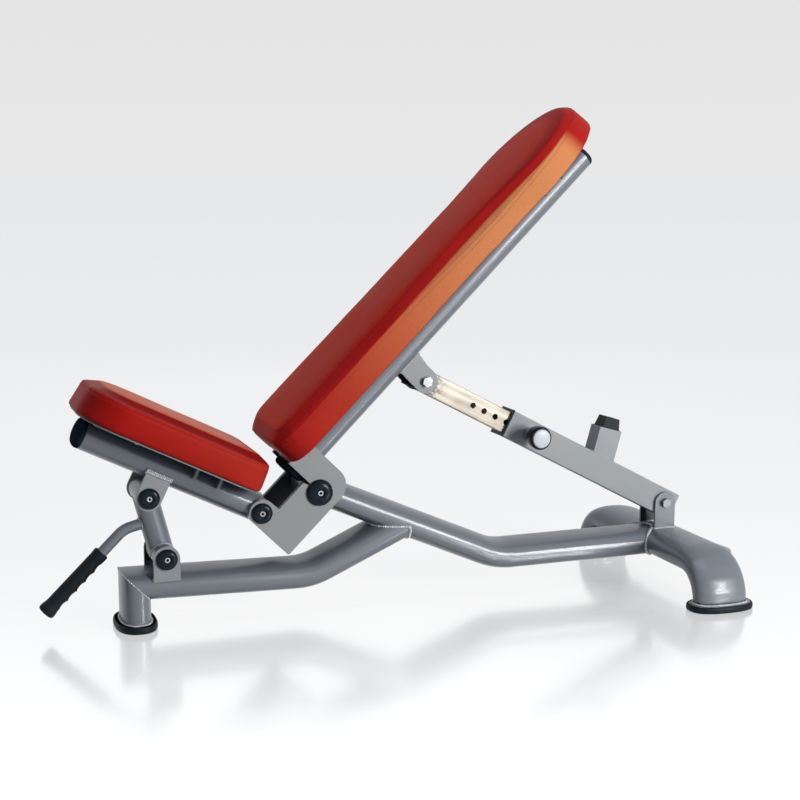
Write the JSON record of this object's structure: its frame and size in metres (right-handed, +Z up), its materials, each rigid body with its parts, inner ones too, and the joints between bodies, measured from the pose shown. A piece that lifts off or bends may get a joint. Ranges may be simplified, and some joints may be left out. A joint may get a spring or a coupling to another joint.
{
  "type": "adjustable weight bench",
  "caption": "Adjustable weight bench with oval-tube frame, red pads, a seat that tilts with the backrest, and a pin-locked telescopic strut.",
  "frame": {"origin": "centre of the front foot's sole, on the floor", "axes": "+Z up; +X along the bench from the front handle to the rear stabilizer; +Y toward the far side, away from the pull pin's knob"},
  "size_m": [1.2058, 0.5304, 0.8763],
  "materials": {
    "frame_paint": "glossy metallic grey powder coat",
    "plate_paint": "satin light metallic grey powder coat",
    "zinc_tube": "bright plated tube with a warm cast and grease marks",
    "bright_hardware": "bright plated steel",
    "black_plastic": "semi-gloss moulded black",
    "black_rubber": "matt moulded rubber",
    "knob_cap_plastic": "silvery white, smooth",
    "red_vinyl": "smooth red upholstery vinyl with a soft sheen",
    "plywood": "plain plywood"
  },
  "bodies": {
    "base": {"front_post": "frame_paint", "lower_rail": "frame_paint", "upper_rail": "frame_paint", "stabilizer": "frame_paint", "front_foot": "black_rubber", "front_flange": "frame_paint", "rear_foot_near": "black_rubber", "rear_foot_far": "black_rubber", "rear_flange_near": "frame_paint", "rear_flange_far": "frame_paint", "link_ear_near": "plate_paint", "link_ear_far": "plate_paint", "strut_ear_near": "plate_paint", "strut_ear_far": "plate_paint", "link_lower_bolt": "bright_hardware", "link_lower_cap_near": "black_plastic", "link_lower_cap_far": "black_plastic", "strut_bolt": "bright_hardware", "strut_nut": "bright_hardware"},
    "backrest": {"plate_near": "plate_paint", "plate_far": "plate_paint", "back_tube": "frame_paint", "back_tube_plug": "black_plastic", "clevis_ear_near": "plate_paint", "clevis_ear_far": "plate_paint", "clevis_bolt": "bright_hardware", "clevis_nut": "bright_hardware", "pad_bracket_upper": "frame_paint", "pad_bracket_lower": "frame_paint", "back_pad": "red_vinyl", "back_board": "plywood", "main_bolt": "bright_hardware", "main_cap_near": "black_plastic", "main_cap_far": "black_plastic", "seat_pivot_bolt": "bright_hardware", "seat_pivot_cap_near": "black_plastic", "seat_pivot_cap_far": "black_plastic"},
    "seat": {"seat_tube": "frame_paint", "seat_tube_plug": "black_plastic", "seat_ear_near": "plate_paint", "seat_ear_far": "plate_paint", "link_upper_bolt_near": "bright_hardware", "link_upper_bolt_far": "bright_hardware", "link_upper_cap_near": "black_plastic", "link_upper_cap_far": "black_plastic", "seat_plate": "frame_paint", "seat_pad": "red_vinyl", "seat_board": "plywood"},
    "front_link": {"link_tube": "frame_paint", "handle_rod": "frame_paint", "handle_grip": "black_rubber"},
    "strut_outer": {"strut_outer": "plate_paint", "strut_collar": "black_plastic", "stop_post": "plate_paint", "stop_bumper": "black_rubber", "pin_barrel": "bright_hardware"},
    "strut_inner": {"strut_inner": "zinc_tube"},
    "pop_pin": {"pop_pin": "bright_hardware", "pop_pin_knob": "black_plastic", "pop_pin_cap": "knob_cap_plastic"}
  },
  "joints": [
    {"name": "backrest_tilt", "type": "hinge", "parent": "base", "child": "backrest", "pos_m": [0.308, 0, 0.22], "axis": [0, -1, 0], "range_deg": [-41, 5.4]},
    {"name": "seat_tilt", "type": "hinge", "parent": "backrest", "child": "seat", "pos_m": [0.2074, 0, 0.19098], "axis": [0, -1, 0], "range_deg": [-8.5, 63.3]},
    {"name": "front_link_swing", "type": "hinge", "parent": "base", "child": "front_link", "pos_m": [0.0473, 0, 0.1222], "axis": [0, -1, 0], "range_deg": [-0.3, 1.1]},
    {"name": "strut_swing", "type": "hinge", "parent": "base", "child": "strut_outer", "pos_m": [0.985, 0, 0.148], "axis": [0, -1, 0], "range_deg": [-2.3, 16.2]},
    {"name": "strut_slide", "type": "slide", "parent": "strut_outer", "child": "strut_inner", "axis": [-0.8852, 0, 0.4652], "range_m": [-0.1375, 0.0184]},
    {"name": "pull_pin", "type": "slide", "parent": "strut_outer", "child": "pop_pin", "axis": [0, -1, 0], "range_m": [0, 0.012], "stiffness_N_per_m": 800, "springref_m": -0.01}
  ],
  "couplings": [
    {"joint": "seat_tilt", "follows": "backrest_tilt", "ratio": -1.5374},
    {"joint": "front_link_swing", "follows": "backrest_tilt", "ratio": -0.0223},
    {"joint": "strut_swing", "follows": "backrest_tilt", "ratio": -0.39},
    {"joint": "strut_slide", "follows": "backrest_tilt", "m_per_rad": 0.19156}
  ]
}
